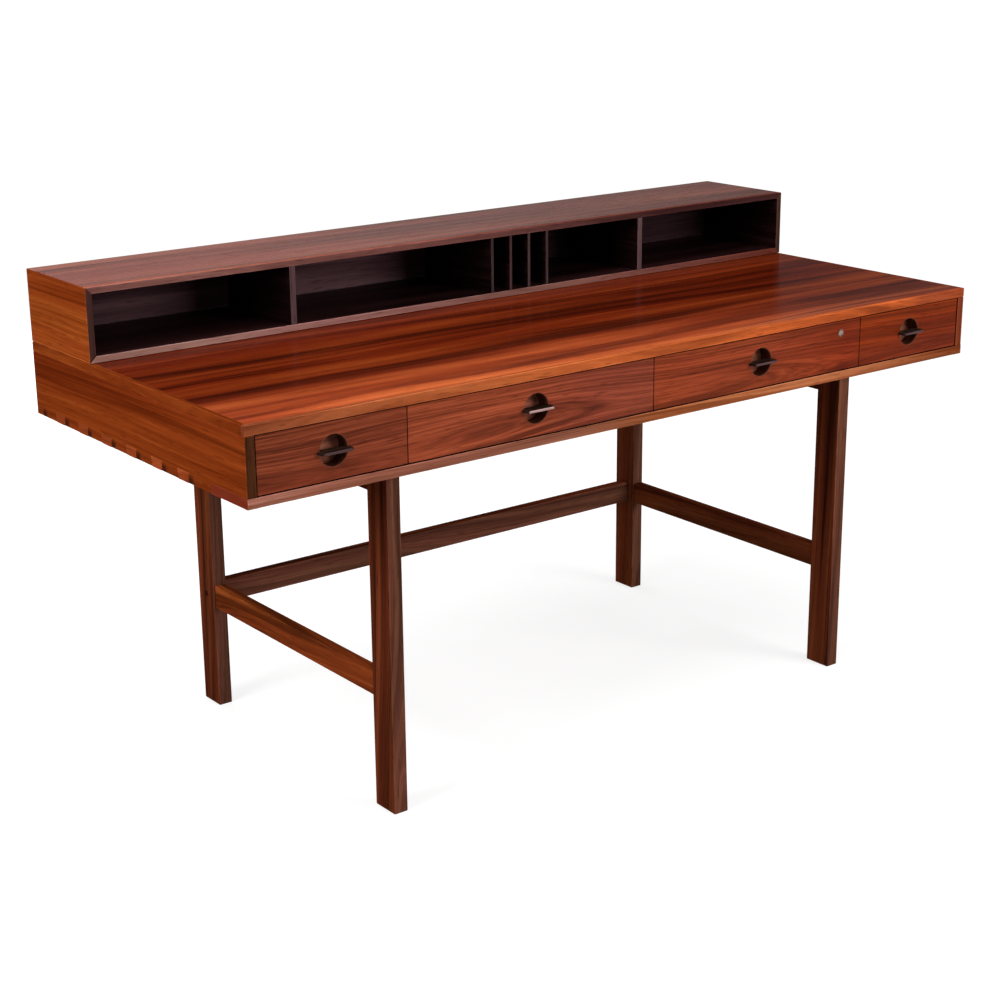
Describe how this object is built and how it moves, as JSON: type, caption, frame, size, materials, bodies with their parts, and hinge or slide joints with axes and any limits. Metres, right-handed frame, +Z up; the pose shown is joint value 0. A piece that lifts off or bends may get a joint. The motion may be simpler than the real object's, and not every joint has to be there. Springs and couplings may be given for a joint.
{
  "type": "partners desk",
  "caption": "Rosewood partners desk with inset drawers on a stretcher base, and a pigeonhole gallery that swings over the back edge to lengthen the top.",
  "frame": {"origin": "on the floor, below the middle of the desk's overall box, which runs from the fronts of the drawer pulls to the backs of the hinge knuckles", "axes": "+X to the right along the front, +Y to the back, +Z up"},
  "size_m": [1.62, 0.749, 0.8628],
  "materials": {
    "rosewood_top": "satin oiled rosewood with long dark streaks",
    "rosewood_case": "satin oiled rosewood, orange-brown",
    "rosewood_front": "satin oiled rosewood, grain along the front",
    "rosewood_base": "dark oiled solid rosewood",
    "rosewood_inside": "dark matt rosewood inside the case and gallery",
    "drawer_wood": "plain pale drawer wood",
    "pull_wood": "near-black rosewood bar",
    "lock_steel": "brushed, slightly worn",
    "hinge_brass": "aged satin brass"
  },
  "bodies": {
    "desk": {"leg_front_left": "rosewood_base", "leg_front_right": "rosewood_base", "leg_rear_left": "rosewood_base", "leg_rear_right": "rosewood_base", "top_rail_left": "rosewood_base", "top_rail_right": "rosewood_base", "side_stretcher_left": "rosewood_base", "side_stretcher_right": "rosewood_base", "rear_stretcher": "rosewood_base", "case_top": "rosewood_top", "case_bottom": "rosewood_case", "case_side_left": "rosewood_case", "case_side_right": "rosewood_case", "case_back": "rosewood_case", "partition_left": "rosewood_inside", "partition_centre": "rosewood_inside", "partition_right": "rosewood_inside", "hinge_left_desk_leaf": "hinge_brass", "hinge_right_desk_leaf": "hinge_brass"},
    "gallery": {"gallery_top": "rosewood_top", "gallery_bottom": "rosewood_top", "gallery_side_left": "rosewood_case", "gallery_side_right": "rosewood_case", "gallery_back": "rosewood_inside", "divider_left": "rosewood_inside", "divider_right": "rosewood_inside", "slot_divider_1": "rosewood_inside", "slot_divider_2": "rosewood_inside", "slot_divider_3": "rosewood_inside", "slot_divider_4": "rosewood_inside", "hinge_left_gallery_leaf": "hinge_brass", "hinge_right_gallery_leaf": "hinge_brass"},
    "drawer_1": {"drawer_1_front": "rosewood_front", "drawer_1_side_left": "drawer_wood", "drawer_1_side_right": "drawer_wood", "drawer_1_back": "drawer_wood", "drawer_1_bottom": "drawer_wood", "drawer_1_pull": "pull_wood"},
    "drawer_2": {"drawer_2_front": "rosewood_front", "drawer_2_side_left": "drawer_wood", "drawer_2_side_right": "drawer_wood", "drawer_2_back": "drawer_wood", "drawer_2_bottom": "drawer_wood", "drawer_2_pull": "pull_wood"},
    "drawer_3": {"drawer_3_front": "rosewood_front", "drawer_3_side_left": "drawer_wood", "drawer_3_side_right": "drawer_wood", "drawer_3_back": "drawer_wood", "drawer_3_bottom": "drawer_wood", "drawer_3_pull": "pull_wood", "lock_housing": "lock_steel", "lock_cover": "lock_steel"},
    "drawer_4": {"drawer_4_front": "rosewood_front", "drawer_4_side_left": "drawer_wood", "drawer_4_side_right": "drawer_wood", "drawer_4_back": "drawer_wood", "drawer_4_bottom": "drawer_wood", "drawer_4_pull": "pull_wood"},
    "lock_plug": {"lock_plug": "lock_steel"},
    "lock_bolt": {"lock_bolt": "lock_steel"}
  },
  "joints": [
    {"name": "gallery_swing", "type": "hinge", "parent": "desk", "child": "gallery", "pos_m": [0, 0.3719, 0.7334], "axis": [-1, 0, 0], "range_deg": [0, 180]},
    {"name": "drawer_1_slide", "type": "slide", "parent": "desk", "child": "drawer_1", "axis": [0, -1, 0], "range_m": [0, 0.38]},
    {"name": "drawer_2_slide", "type": "slide", "parent": "desk", "child": "drawer_2", "axis": [0, -1, 0], "range_m": [0, 0.38]},
    {"name": "drawer_3_slide", "type": "slide", "parent": "desk", "child": "drawer_3", "axis": [0, -1, 0], "range_m": [0, 0.38]},
    {"name": "drawer_4_slide", "type": "slide", "parent": "desk", "child": "drawer_4", "axis": [0, -1, 0], "range_m": [0, 0.38]},
    {"name": "lock_turn", "type": "hinge", "parent": "drawer_3", "child": "lock_plug", "pos_m": [0.4637, -0.3609, 0.6924], "axis": [0, -1, 0], "range_deg": [0, 90]},
    {"name": "bolt_rise", "type": "slide", "parent": "drawer_3", "child": "lock_bolt", "axis": [0, 0, 1], "range_m": [0, 0.0081]}
  ],
  "couplings": [
    {"joint": "bolt_rise", "follows": "lock_turn", "m_per_rad": 0.005093}
  ]
}
